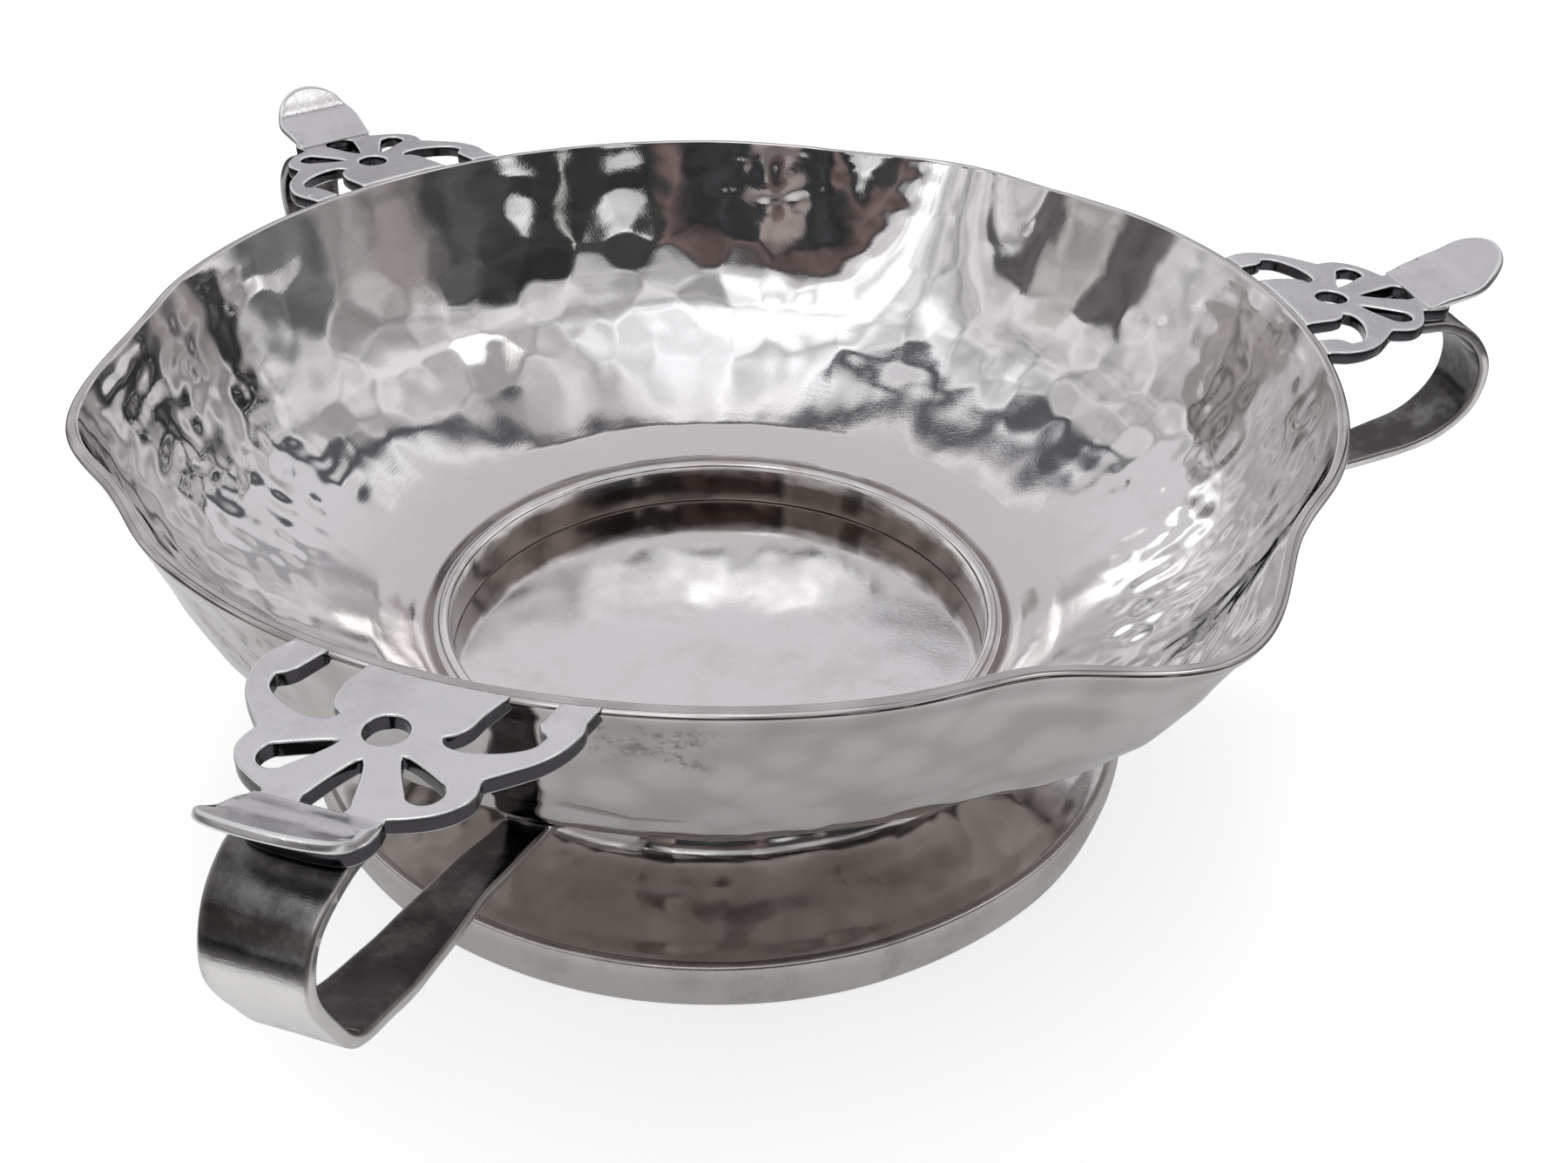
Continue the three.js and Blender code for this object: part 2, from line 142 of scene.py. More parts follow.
def spline(points, places):
    """Points on a smooth curve: place 1.5 is halfway from the second given point to the third."""
    given = np.asarray(points, float)
    ends = np.vstack([2 * given[0] - given[1], given, 2 * given[-1] - given[-2]])
    k = np.clip(np.floor(places).astype(int), 0, len(given) - 2)
    t = (places - k)[:, None]
    p0, p1, p2, p3 = ends[k], ends[k + 1], ends[k + 2], ends[k + 3]
    d0, d1, d2 = (
        np.sqrt(np.linalg.norm(b - a, axis=1))[:, None] for a, b in ((p0, p1), (p1, p2), (p2, p3))
    )
    leave = ((p1 - p0) / d0 - (p2 - p0) / (d0 + d1) + (p2 - p1) / d1) * d1
    arrive = ((p2 - p1) / d1 - (p3 - p1) / (d1 + d2) + (p3 - p2) / d2) * d1
    return (
        (2 * t**3 - 3 * t**2 + 1) * p1 + (t**3 - 2 * t**2 + t) * leave
        + (3 * t**2 - 2 * t**3) * p2 + (t**3 - t**2) * arrive
    )


def run_along(line):
    """How far along a line each of its points lies."""
    return np.concatenate([[0], np.cumsum(np.linalg.norm(np.diff(line, axis=0), axis=1))])


def smooth(points, count):
    """The same curve as evenly spaced points, with count steps."""
    dense = spline(points, np.linspace(0, len(points) - 1, 60 * len(points)))
    run = run_along(dense)
    wanted = np.linspace(0, run[-1], count + 1)
    return np.column_stack([np.interp(wanted, run, dense[:, i]) for i in range(dense.shape[1])])


def unit(vectors):
    """The same directions with a length of 1."""
    return vectors / np.linalg.norm(vectors, axis=1)[:, None]


def left_of(line):
    """Unit vectors to the left of an open line's direction, in the plane."""
    along = unit(np.gradient(line, axis=0))
    return np.column_stack([-along[:, 1], along[:, 0]])


def bump(offset, half_width):
    """1 at the centre and 0 beyond the half width."""
    share = np.clip(np.abs(offset) / half_width, 0, 1)
    return np.cos(math.pi / 2 * share) ** 2


def ease(value, low, high):
    """Rises smoothly from 0 at low to 1 at high."""
    t = np.clip((value - low) / (high - low), 0, 1)
    return t * t * (3 - 2 * t)


def turned_about(points, azimuth):
    """Points of a handle's own frame turned to the handle's azimuth."""
    a = math.radians(azimuth)
    turn = np.array([[math.cos(a), -math.sin(a), 0], [math.sin(a), math.cos(a), 0], [0, 0, 1]])
    return points @ turn.T


# Surface unevenness

def waves(azimuth, run, amplitude, longest, shortest, radius, seed, count=14):
    """A gentle unevenness round the axis, made of sine waves that meet themselves after a turn.

    The waves are between the longest and the shortest at the radius; all four sizes are millimetres.
    """
    rng = np.random.default_rng(seed)
    total = np.zeros(np.broadcast(azimuth, run).shape)
    for _ in range(count):
        length = longest * (shortest / longest) ** rng.random()
        heading = rng.uniform(0, math.pi)
        turns = round(2 * math.pi * radius * math.cos(heading) / length)
        pitch = 2 * math.pi * math.sin(heading) / length
        total = total + np.sin(turns * np.radians(azimuth) + pitch * run + rng.uniform(0, 2 * math.pi))
    return amplitude * total / math.sqrt(count / 2)


def facets(azimuth, run, radius, cell, roundness, softness, seed, tilt):
    """Overlapping hammer marks: each is a shallow dish, and the ridges between them are softened.

    cell is the marks' size at the radius, roundness the hammer face's radius, softness how far the ridges
    are worn down, and tilt how much the marks lean.
    """
    rng = np.random.default_rng(seed)
    around = round(2 * math.pi * radius / cell)
    rows = int(np.max(run) / cell) + 5
    jitter_u = rng.uniform(0.12, 0.88, (rows, around))
    jitter_v = rng.uniform(0.12, 0.88, (rows, around))
    depth = rng.uniform(0, 0.5, (rows, around))
    lean_u = rng.normal(0, tilt, (rows, around))
    lean_v = rng.normal(0, tilt, (rows, around))
    azimuth, run = np.broadcast_arrays(azimuth, run)
    u = (azimuth % 360) / 360 * around
    v = run / cell + 2
    base_u = np.floor(u).astype(int)
    base_v = np.floor(v).astype(int)
    scale = cell * cell / (2 * roundness)
    total = np.zeros(u.shape)
    for i in (-1, 0, 1):
        for j in (-1, 0, 1):
            cu = (base_u + i) % around
            cv = np.clip(base_v + j, 0, rows - 1)
            du = u - (base_u + i) - jitter_u[cv, cu]
            dv = v - (base_v + j) - jitter_v[cv, cu]
            dish = (du**2 + dv**2) * scale + depth[cv, cu] * scale * 0.5
            dish = dish + cell * (lean_u[cv, cu] * du + lean_v[cv, cu] * dv)
            total = total + np.exp(-dish / softness)
    return -softness * np.log(total)


# The bowl's lip and wall

def lip_at(azimuth, z=rim_z):
    """How far the wall stands out from the plain circle at a height, and how high the lip is."""
    out = np.zeros(azimuth.shape)
    height = rim_z + rim_lift * np.cos(np.radians(3 * (azimuth - handles[0]["azimuth"])))
    for centre, swell, dip, power in swells:
        offset = (azimuth - centre + 180) % 360 - 180
        flank = (np.abs(offset) - flank_pinch_place) / flank_pinch_width
        push = swell * bump(offset, swell_half_width) - flank_pinch * np.exp(-flank * flank)
        out = out + push * swell_share(z, power)
        height = height - dip * bump(offset, dip_half_width)
    return out, height


def swell_share(z, power):
    """How much of a swell's push is left at a height."""
    rise = np.maximum(0, (z - swell_start_z) / (rim_z - swell_start_z))
    return np.minimum(1.02, rise**power) * ease(rise, 0, 0.12)


def push_out_swells(points):
    """Pushes a turned shape out into the swells, which fade away down the wall."""
    base_z = bowl_outside[0][1]
    x, y, z = points.T
    out, height = lip_at(np.degrees(np.arctan2(y, x)), z)
    share = swell_share(z, shift_power)
    pushed = 1 + out / np.hypot(x, y)
    return np.column_stack([
        x * pushed + rim_shift[0] * share,
        y * pushed + rim_shift[1] * share,
        base_z + (z - base_z) * (height - base_z) / (rim_z - base_z),
    ])


def lip_edge(azimuth, y, gap):
    """Where the lip's outer edge lies in a handle's own frame, at a distance y along the lip."""
    around = azimuth + np.degrees(np.arcsin(y / rim_radius))
    radius = rim_radius + lip_at(around)[0]
    x_world = radius * np.cos(np.radians(around)) + rim_shift[0]
    y_world = radius * np.sin(np.radians(around)) + rim_shift[1]
    c, s = math.cos(math.radians(azimuth)), math.sin(math.radians(azimuth))
    return np.column_stack([x_world * c + y_world * s + gap, -x_world * s + y_world * c])


def gap_to_bowl(points):
    """How far points are outside the bowl's outer face, measured level and outward."""
    line = smooth(bowl_outside, 120)
    share = swell_share(points[:, 2], shift_power)
    radius = np.hypot(points[:, 0] - rim_shift[0] * share, points[:, 1] - rim_shift[1] * share)
    return radius - np.interp(points[:, 2], line[:, 1], line[:, 0])


# Meshes

def make_object(name, vertices, faces):
    mesh = bpy.data.meshes.new(name)
    mesh.from_pydata((vertices * MM).tolist(), [], faces)
    mesh.validate()
    mesh.shade_smooth()
    piece = bpy.data.objects.new(name, mesh)
    bpy.context.scene.collection.objects.link(piece)
    return piece


def ring_faces(rows, columns, closed_rows):
    """Faces of a net whose rows each close on themselves; closed_rows joins the last row to the first."""
    faces = []
    for i in range(rows if closed_rows else rows - 1):
        a, b = i * columns, (i + 1) % rows * columns
        for j in range(columns):
            k = (j + 1) % columns
            faces.append((a + j, a + k, b + k, b + j))
    return faces


def full_turn(segments):
    """Evenly spaced azimuths in degrees."""
    return np.linspace(0, 360, segments, endpoint=False)


def spun(radius, z, azimuth):
    """Points at radii and heights, turned to each azimuth."""
    c, s = np.cos(np.radians(azimuth)), np.sin(np.radians(azimuth))
    return np.stack([radius * c, radius * s, z + 0 * c], axis=-1)


def revolved(section, segments):
    """Rings of points round Z from a section of [radius, height], with one row a point."""
    return spun(section[:, 0, None], section[:, 1, None], full_turn(segments))


def dented(line, depth, azimuth):
    """A section's line turned round Z, with each point moved to the line's left by its depth."""
    r, z = (line[:, i, None] + left_of(line)[:, i, None] * depth for i in (0, 1))
    return spun(r, z, azimuth)


def widened(net, push):
    """Points moved away from Z, each by its own push."""
    net[..., :2] *= (1 + push / np.hypot(net[..., 0], net[..., 1]))[..., None]
    return net


def facing_out(piece):
    """Turns a closed mesh's faces outward where its volume comes out negative."""
    shape = bmesh.new()
    shape.from_mesh(piece.data)
    if shape.calc_volume(signed=True) < 0:
        piece.data.flip_normals()
    shape.free()
    return piece


def net_piece(name, net):
    """A closed piece from a net whose rows are rings and whose last ring joins the first."""
    rows, columns = net.shape[:2]
    return facing_out(make_object(name, net.reshape(-1, 3), ring_faces(rows, columns, True)))


def rounded(section, radius, steps=4):
    """A closed section with each corner rounded by an arc that starts radius before the corner."""
    corners = np.asarray(section, float)
    points = []
    for corner, last, following in zip(corners, np.roll(corners, 1, axis=0), np.roll(corners, -1, axis=0)):
        back, on = last - corner, following - corner
        cut = min(radius, 0.45 * np.linalg.norm(back), 0.45 * np.linalg.norm(on))
        first = corner + back / np.linalg.norm(back) * cut
        end = corner + on / np.linalg.norm(on) * cut
        for k in range(steps + 1):
            t = k / steps
            points.append((1 - t) ** 2 * first + 2 * t * (1 - t) * corner + t**2 * end)
    return np.array(points)


def inside(points, loop):
    """Which points lie inside a closed loop."""
    x, y = points[:, 0, None], points[:, 1, None]
    x0, y0 = loop[:, 0], loop[:, 1]
    x1, y1 = np.roll(x0, -1), np.roll(y0, -1)
    crosses = (y0 > y) != (y1 > y)
    at = x0 + (y - y0) * (x1 - x0) / np.where(y1 == y0, 1e-12, y1 - y0)
    return (crosses & (x < at)).sum(axis=1) % 2 == 1


def inset(loop, distance):
    """A closed loop moved to the left of its direction."""
    along = unit(loop - np.roll(loop, 1, axis=0)) + unit(np.roll(loop, -1, axis=0) - loop)
    left = np.column_stack([-along[:, 1], along[:, 0]])
    return loop + distance * 2 * left / np.maximum((left**2).sum(axis=1), 1.0)[:, None]


def area_of(loop):
    """A closed loop's area, which is negative where the loop runs clockwise."""
    x, y = loop.T
    return 0.5 * (x * np.roll(y, -1) - np.roll(x, -1) * y).sum()


def evenly(loop, step):
    """A closed loop with its long edges split."""
    points = []
    for a, b in zip(loop, np.roll(loop, -1, axis=0)):
        parts = max(1, round(np.linalg.norm(b - a) / step))
        points.extend(a + (b - a) * k / parts for k in range(parts))
    return np.array(points)


def clear_corners(loop, distance):
    """Drops the points so close to an outward corner that they would cross it when the loop is inset."""
    before = loop - np.roll(loop, 1, axis=0)
    after = np.roll(loop, -1, axis=0) - loop
    turn = np.arctan2(
        before[:, 0] * after[:, 1] - before[:, 1] * after[:, 0], (before * after).sum(axis=1)
    )
    sharp_turn = math.radians(18)
    keep = np.ones(len(loop), bool)
    for k in np.nonzero(turn > sharp_turn)[0]:
        reach = distance * math.tan(turn[k] / 2) + arris_room
        near = np.linalg.norm(loop - loop[k], axis=1) < reach
        near[k] = False
        keep &= ~near
    return loop[keep]


def within(points, loops):
    """Which points lie inside the first loop and in none of the others."""
    keep = inside(points, loops[0])
    for hole in loops[1:]:
        keep &= ~inside(points, hole)
    return keep


def fill(loops, spacing):
    """Triangles that fill the first loop but not the others, with a net of points inside.

    The loops' points come first and keep their order.
    """
    edge_points = np.vstack(loops)
    low, high = edge_points.min(axis=0), edge_points.max(axis=0)
    xs = np.arange(low[0] + 0.37 * spacing, high[0], spacing)
    ys = np.arange(low[1] + 0.37 * spacing, high[1], spacing * 0.87)
    grid = np.array([(x + 0.5 * spacing * (k % 2), y) for k, y in enumerate(ys) for x in xs])
    grid = grid[within(grid, loops)]
    near = np.array([np.min(((edge_points - p) ** 2).sum(axis=1)) for p in grid])
    grid = grid[near > (0.5 * spacing) ** 2]
    points = np.vstack([edge_points, grid])
    edges = []
    start = 0
    for loop in loops:
        edges += [(start + k, start + (k + 1) % len(loop)) for k in range(len(loop))]
        start += len(loop)
    made = geometry.delaunay_2d_cdt([Vector(p) for p in points], edges, [], 0, 1e-6)
    first_of = [origin[0] for origin in made[3]]
    triangles = np.array([[first_of[k] for k in face] for face in made[2]])
    triangles = triangles[within(points[triangles].mean(axis=1), loops)]
    a, b, c = points[triangles].transpose(1, 0, 2)
    turned = (b[:, 0] - a[:, 0]) * (c[:, 1] - a[:, 1]) - (b[:, 1] - a[:, 1]) * (c[:, 0] - a[:, 0]) < 0
    triangles[turned] = triangles[turned][:, ::-1]
    return grid, triangles


def slab(name, outline, holes, bottom, top, arris, spacing, shape):
    """A flat sheet cut to an outline with holes, with rounded arrises; shape(points) bends it.

    arris is the arrises' radius and spacing that of the points inside, in millimetres.
    """
    loops = [outline if area_of(outline) > 0 else outline[::-1]]
    loops += [hole if area_of(hole) < 0 else hole[::-1] for hole in holes]
    turns = np.radians(np.linspace(0, 90, arris_points))
    insets = [*(arris * (1 - np.cos(turns))), arris + arris_room]
    loops = [clear_corners(loop, insets[-1]) for loop in loops]
    drops = [*(arris * (1 - np.sin(turns))), 0.0]
    levels = [(i, top - d) for i, d in zip(insets[::-1], drops[::-1])]
    levels += [(i, bottom + d) for i, d in zip(insets, drops)]
    flat = [inset(loop, insets[-1]) for loop in loops]
    grid, triangles = fill(flat, spacing)
    count = sum(len(loop) for loop in loops)
    vertices = []
    for distance, z in levels:
        ring = np.vstack([inset(loop, distance) for loop in loops])
        vertices.append(np.column_stack([ring, np.full(count, z)]))
    vertices.append(np.column_stack([grid, np.full(len(grid), top)]))
    vertices.append(np.column_stack([grid, np.full(len(grid), bottom)]))
    inner_top = len(levels) * count
    inner_bottom = inner_top + len(grid)
    last = (len(levels) - 1) * count
    faces = []
    for tri in triangles:
        faces.append([int(k) if k < count else int(k - count + inner_top) for k in tri])
        faces.append([int(last + k) if k < count else int(k - count + inner_bottom) for k in tri][::-1])
    start = 0
    for loop in loops:
        for level in range(len(levels) - 1):
            a, b = level * count + start, (level + 1) * count + start
            for j in range(len(loop)):
                k = (j + 1) % len(loop)
                faces.append((a + j, b + j, b + k, a + k))
        start += len(loop)
    return facing_out(make_object(name, shape(np.vstack(vertices)), faces))


# Materials

def nodes_of(material):
    """A new material's node tree and its shader."""
    material.use_nodes = True
    tree = material.node_tree
    return tree, tree.nodes["Principled BSDF"]


def put(value, socket):
    """Gives an input socket a fixed value, or links it to an output socket."""
    if isinstance(value, bpy.types.NodeSocket):
        socket.id_data.links.new(value, socket)
    else:
        socket.default_value = value


def new_node(tree, kind, inputs):
    """A new node with its inputs filled by name."""
    node = tree.nodes.new(kind)
    for name, value in inputs.items():
        put(value, node.inputs[name])
    return node


def noise_node(place, scale, detail=3.0, roughness=0.5, stretch=None):
    """A noise texture whose scale is in features a metre; stretch scales its axes."""
    tree = place.id_data
    if stretch is not None:
        place = new_node(tree, "ShaderNodeMapping", {"Scale": stretch, "Vector": place}).outputs["Vector"]
    inputs = {"Scale": scale, "Detail": detail, "Roughness": roughness, "Vector": place}
    return new_node(tree, "ShaderNodeTexNoise", inputs).outputs["Fac"]


def range_node(value, low, high, to_low, to_high):
    """A value that goes smoothly from one number to another between low and high."""
    inputs = {"Value": value, "From Min": low, "From Max": high, "To Min": to_low, "To Max": to_high}
    node = new_node(value.id_data, "ShaderNodeMapRange", inputs)
    node.interpolation_type = "SMOOTHSTEP"
    return node.outputs["Result"]


def mix_node(share, first, second):
    """A colour that goes from the first to the second as the share rises; each is a socket or a colour."""
    node = share.id_data.nodes.new("ShaderNodeMix")
    node.data_type = "RGBA"
    put(share, node.inputs["Factor"])
    for name, colour in (("A", first), ("B", second)):
        socket = next(i for i in node.inputs if i.name == name and i.type == "RGBA")
        put((*colour, 1) if isinstance(colour, tuple) else colour, socket)
    return next(o for o in node.outputs if o.type == "RGBA")


def sum_node(kind, operation, first, second):
    """What an operation makes of a socket and of another socket or a fixed value."""
    node = first.id_data.nodes.new(kind)
    node.operation = operation
    put(first, node.inputs[0])
    put(second, node.inputs[1])
    return node.outputs["Value"]


def math_node(operation, first, second=0):
    return sum_node("ShaderNodeMath", operation, first, second)


def vector_node(operation, first, second=(0, 0, 0)):
    return sum_node("ShaderNodeVectorMath", operation, first, second)


def times(first, second):
    return math_node("MULTIPLY", first, second)


def plus(first, second):
    return math_node("ADD", first, second)


def axes_of(vector):
    return new_node(vector.id_data, "ShaderNodeSeparateXYZ", {"Vector": vector}).outputs


def surface(tree, kind):
    """The surface's Normal, Position or Pointiness."""
    return tree.nodes.new("ShaderNodeNewGeometry").outputs[kind]


def outward(place):
    """How far from the axis a place is, positive on faces turned away from it and negative on others."""
    return vector_node("DOT_PRODUCT", place, surface(place.id_data, "Normal"))


def painted_sides_and_arris_highlights(colour, sides):
    """Painted dark reflection on upright sawn edges, with a painted white highlight along their arrises.
    """
    level = math_node("ABSOLUTE", axes_of(surface(colour.id_data, "Normal"))["Z"])
    off_side = range_node(level, 0.3, 0.5, 0, 1)
    arris = times(off_side, range_node(level, 0.9, 0.98, 1, 0))
    colour = mix_node(arris, colour, arris_highlight_white)
    return mix_node(range_node(level, 0.15, 0.45, 1, 0), colour, sides)


def darkened_below(place, colour, low_colour, full_z, clear_z):
    """A colour that darkens a piece towards the bottom, fading out upward between two heights in
    millimetres.
    """
    wander = math_node("SUBTRACT", noise_node(place, 130, 4, 0.6, (1, 1, 3)), 0.5)
    height = plus(axes_of(place)["Z"], times(wander, 4 * MM))
    return mix_node(range_node(height, full_z * MM, clear_z * MM, 0.92, 0), colour, low_colour)


def painted_dark_reflection(place, colour, dark_reflection, dark_reflection_z):
    """Painted dark reflection and shade on faces that look up or to the axis, and on what is above a
    height in millimetres.
    """
    wander = math_node("SUBTRACT", noise_node(place, 210, 4, 0.6), 0.5)
    uneven = plus(axes_of(surface(place.id_data, "Normal"))["Z"], times(wander, 0.3))
    up = range_node(uneven, 0.3, 0.42, 0, 1)
    low, high = (dark_reflection_z - 0.7) * MM, (dark_reflection_z + 0.7) * MM
    above = range_node(axes_of(place)["Z"], low, high, 0, 1)
    inward = range_node(outward(place), -20 * MM, 0, 1, 0)
    dark_share = math_node("MAXIMUM", inward, math_node("MAXIMUM", up, above))
    mottled = range_node(noise_node(place, 190, 5, 0.7), 0.42, 0.75, 0.98, 0.72)
    return mix_node(times(dark_share, mottled), colour, dark_reflection)


def painted_outside_shade(place, colour, outside):
    """Painted shade on faces turned away from the axis, for the dim table they mirror: it follows a
    pattern of hammer marks and is stronger low on them, where the foot's shadow is mirrored.
    """
    outer = range_node(outward(place), 0, 4 * MM, 0, 1)
    dents = place.id_data.nodes.new("ShaderNodeTexVoronoi")
    dents.feature = "SMOOTH_F1"
    for name, value in (("Scale", 190), ("Smoothness", 0.35), ("Vector", place)):
        put(value, dents.inputs[name])
    marks = range_node(dents.outputs["Distance"], 0.25, 0.75, 0.38, 0.62)
    low_shade = range_node(axes_of(place)["Z"], 6 * MM, 20 * MM, 0.55, 0)
    return mix_node(times(outer, plus(marks, low_shade)), colour, outside)


def smudged(place, colour, centre, radius):
    """Dark specks that gather within a radius of a place, both in millimetres."""
    away = vector_node("DISTANCE", place, [value * MM for value in centre])
    near = range_node(away, 0.2 * radius * MM, radius * MM, 1, 0)
    specks = range_node(noise_node(place, 520, 5, 0.7), 0.5, 0.66, 0, 0.7)
    return mix_node(times(near, specks), colour, speck_colour)


def silver(name, bright, dull, roughness, dullness=0.45, relief=0.008, scratches=0.5,
           sides=None, low_colour=None, dark_reflection=None, smudges=(), outside=None, edges=None):
    """Polished silver: cloudy tarnish, uneven gloss, fine polishing scratches and a faint grain.

    relief is the grain's height in millimetres. sides, the low colour, the dark reflection, outside and
    smudges hold what the functions above need for their layers; sides, the dark reflection and outside are
    painted shade and painted reflection.
    edges is the colour of the outward edges, partly wear and partly painted highlight.
    """
    material = bpy.data.materials.new(name)
    tree, shader = nodes_of(material)
    place = tree.nodes.new("ShaderNodeTexCoord").outputs["Object"]
    cloud = range_node(noise_node(place, 95, 5, 0.62), 0.46, 0.72, 0, 1)
    streak = range_node(noise_node(place, 160, 4, 0.6, (1, 1, 0.45)), 0.5, 0.75, 0, 1)
    tarnish = times(math_node("MAXIMUM", cloud, streak), dullness)
    colour = mix_node(tarnish, bright, dull)
    if sides is not None:
        colour = painted_sides_and_arris_highlights(colour, sides)
    if low_colour is not None:
        colour = darkened_below(place, colour, *low_colour)
    if dark_reflection is not None:
        colour = painted_dark_reflection(place, colour, *dark_reflection)
    if outside is not None:
        colour = painted_outside_shade(place, colour, outside)
    if edges is not None:
        # Outward edges found by pointiness get lighter: partly wear, partly painted highlight.
        worn = range_node(surface(tree, "Pointiness"), 0.508, 0.535, 0, 0.9)
        colour = mix_node(worn, colour, edges)
    for centre, radius in smudges:
        colour = smudged(place, colour, centre, radius)
    put(colour, shader.inputs["Base Color"])
    put(1, shader.inputs["Metallic"])
    fine = noise_node(place, 420, 4, 0.65)
    gloss = range_node(fine, 0.3, 0.7, roughness * 0.75, roughness * 1.25)
    dulled = plus(gloss, times(tarnish, 0.12))
    if edges is not None:
        dulled = plus(dulled, times(worn, 0.25))
    put(dulled, shader.inputs["Roughness"])
    lines_one = noise_node(place, 900, 2, 0.5, (1, 14, 1))
    lines_two = noise_node(place, 760, 2, 0.5, (12, 1, 3))
    grain = noise_node(place, 2600, 2, 0.5)
    height = times(plus(lines_one, lines_two), scratches)
    height = plus(height, times(grain, 0.3))
    inputs = {"Strength": 1, "Distance": relief * MM, "Height": plus(height, fine)}
    put(new_node(tree, "ShaderNodeBump", inputs).outputs["Normal"], shader.inputs["Normal"])
    return material


# Painted dark reflection for the plates' upright edges, and a painted white highlight for their arrises.
side_dark_reflection = (0.075, 0.07, 0.08)
arris_highlight_white = (0.98, 0.98, 0.98)
speck_colour = (0.09, 0.075, 0.08)
floor_grey = (0.74, 0.71, 0.705)
well_brown = (0.17, 0.135, 0.115)
joint_smudges = [((12.5, -63.5, 35), 6), ((19, -61.5, 33), 6), ((-24, -58, 31), 9), ((-17, -60, 34), 6)]
# The bowl's outward faces get painted shade for the dim table and the foot's shadow that they mirror.
bowl_silver = silver(
    "bowl_silver", (0.87, 0.86, 0.86), (0.62, 0.585, 0.57), roughness=0.034, dullness=0.25, relief=0.004,
    scratches=0.4, smudges=joint_smudges, outside=(0.32, 0.285, 0.27), low_colour=(floor_grey, 4.5, 13.0),
)
well_silver = silver(
    "well_silver", (0.86, 0.85, 0.85), (0.62, 0.57, 0.55), roughness=0.03, dullness=0.35, relief=0.004,
)
collar_silver = silver(
    "collar_silver", (0.86, 0.85, 0.84), (0.5, 0.44, 0.41), roughness=0.09, dullness=0.5, relief=0.004,
    # The well's wall is darker towards the bottom.
    low_colour=(well_brown, 3.0, 4.6),
)
# The foot's two finishes are darker silver, as painted shade for the dim table that the foot mirrors.
shaded_foot_silver = silver("shaded_foot_silver", (0.72, 0.70, 0.685), (0.40, 0.36, 0.34), roughness=0.07, relief=0.005)
shaded_band_silver = silver(
    "shaded_band_silver", (0.70, 0.675, 0.66), (0.46, 0.43, 0.41), roughness=0.2, dullness=0.6, scratches=1.0,
)
# The plates' upright edges get painted dark reflection, and their arrises get a painted white highlight.
handle_silver = silver(
    "handle_silver", (0.82, 0.81, 0.83), (0.58, 0.56, 0.57), roughness=0.12, scratches=1.2,
    sides=side_dark_reflection,
)
# The thumb rests' outward edges get a painted white highlight.
thumb_silver = silver(
    "thumb_silver", (0.74, 0.73, 0.75), (0.50, 0.485, 0.50), roughness=0.11, scratches=1.6,
    edges=(0.97, 0.97, 0.97),
)
# The straps get painted dark reflection and shade high up and on faces that look up or towards the bowl.
strap_silver = silver(
    "strap_silver", (0.86, 0.85, 0.84), (0.42, 0.40, 0.385), roughness=0.16, dullness=0.6, relief=0.010,
    # The straps' outward edges are lighter, partly wear and partly painted highlight.
    scratches=0.8, dark_reflection=((0.066, 0.062, 0.062), 32.0), edges=(0.62, 0.60, 0.585),
)


def dress(piece, material, slot_name, *nodes):
    """Gives a piece its finish, hides the solids it stands for and makes it ride on the one body."""
    piece.data.materials.clear()
    piece.data.materials.append(material)
    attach(piece, "root")
    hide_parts(*nodes)


# Bowl

def bowl():
    """The raised sheet, with hammer marks outside and softer ones inside."""
    wall_steps = 130
    lip_steps = 8
    lip_swelling = np.array([0, 0.34])
    segments = 900
    outer = smooth(bowl_outside, wall_steps)
    inner = smooth(bowl_inside, wall_steps)
    azimuth = full_turn(segments)[None, :]
    run = run_along(outer)[:, None]
    fade = ease(run, 0.5, 4) * (1 - ease(run, run.max() - 3, run.max() - 0.3))
    marks = facets(azimuth, run, wall_radius, cell=5.6, roundness=48, softness=0.02, seed=5, tilt=0.016)
    marks_out = marks.max() - marks
    sway_out = np.abs(waves(azimuth, run, 0.1, 40, 18, wall_radius, 11))
    on_wall = ease(run, 13, 24)
    near_lip = ease(run, 34, 42)
    rougher = 0
    for centre, half_width, share, start in rough_sides:
        side = share * bump((azimuth - centre + 180) % 360 - 180, half_width)
        rougher = rougher + side * ease(run, start, start + 7)
    marks = facets(azimuth, run, wall_radius, cell=4.4, roundness=68, softness=0.026, seed=23, tilt=0.01)
    marks_in = (marks.mean() - marks) * (0.06 + 0.94 * on_wall) * (1 - 0.5 * near_lip)
    sway_in = waves(azimuth, run, 0.05, 36, 14, wall_radius, 31)
    sway_in = sway_in + waves(azimuth, run, 0.004, 7, 3.5, wall_radius, 37, 20)
    sway_in = sway_in * (0.35 + 0.65 * on_wall)
    sway_in = sway_in + waves(azimuth, run, 0.03, 6, 3, wall_radius, 83, 24) * rougher
    middle = (outer[-1] + inner[-1]) / 2
    half = (outer[-1] - inner[-1]) / 2
    turns = [math.pi * k / lip_steps for k in range(1, lip_steps)]
    lip = np.array([middle + half * math.cos(turn) + lip_swelling * math.sin(turn) for turn in turns])
    hole = (outer[0] + inner[0]) / 2 - (0.1, 0)
    whole = np.concatenate([
        dented(outer, fade * (marks_out + sway_out), azimuth),
        revolved(lip, segments),
        dented(inner, fade * (sway_in + marks_in), azimuth)[::-1],
        revolved(hole[None, :], segments),
    ])
    return net_piece("raised_bowl", push_out_swells(whole.reshape(-1, 3)).reshape(whole.shape))


dress(bowl(), bowl_silver, "planished_bowl", "bowl")


# Well

ring_segments = 540


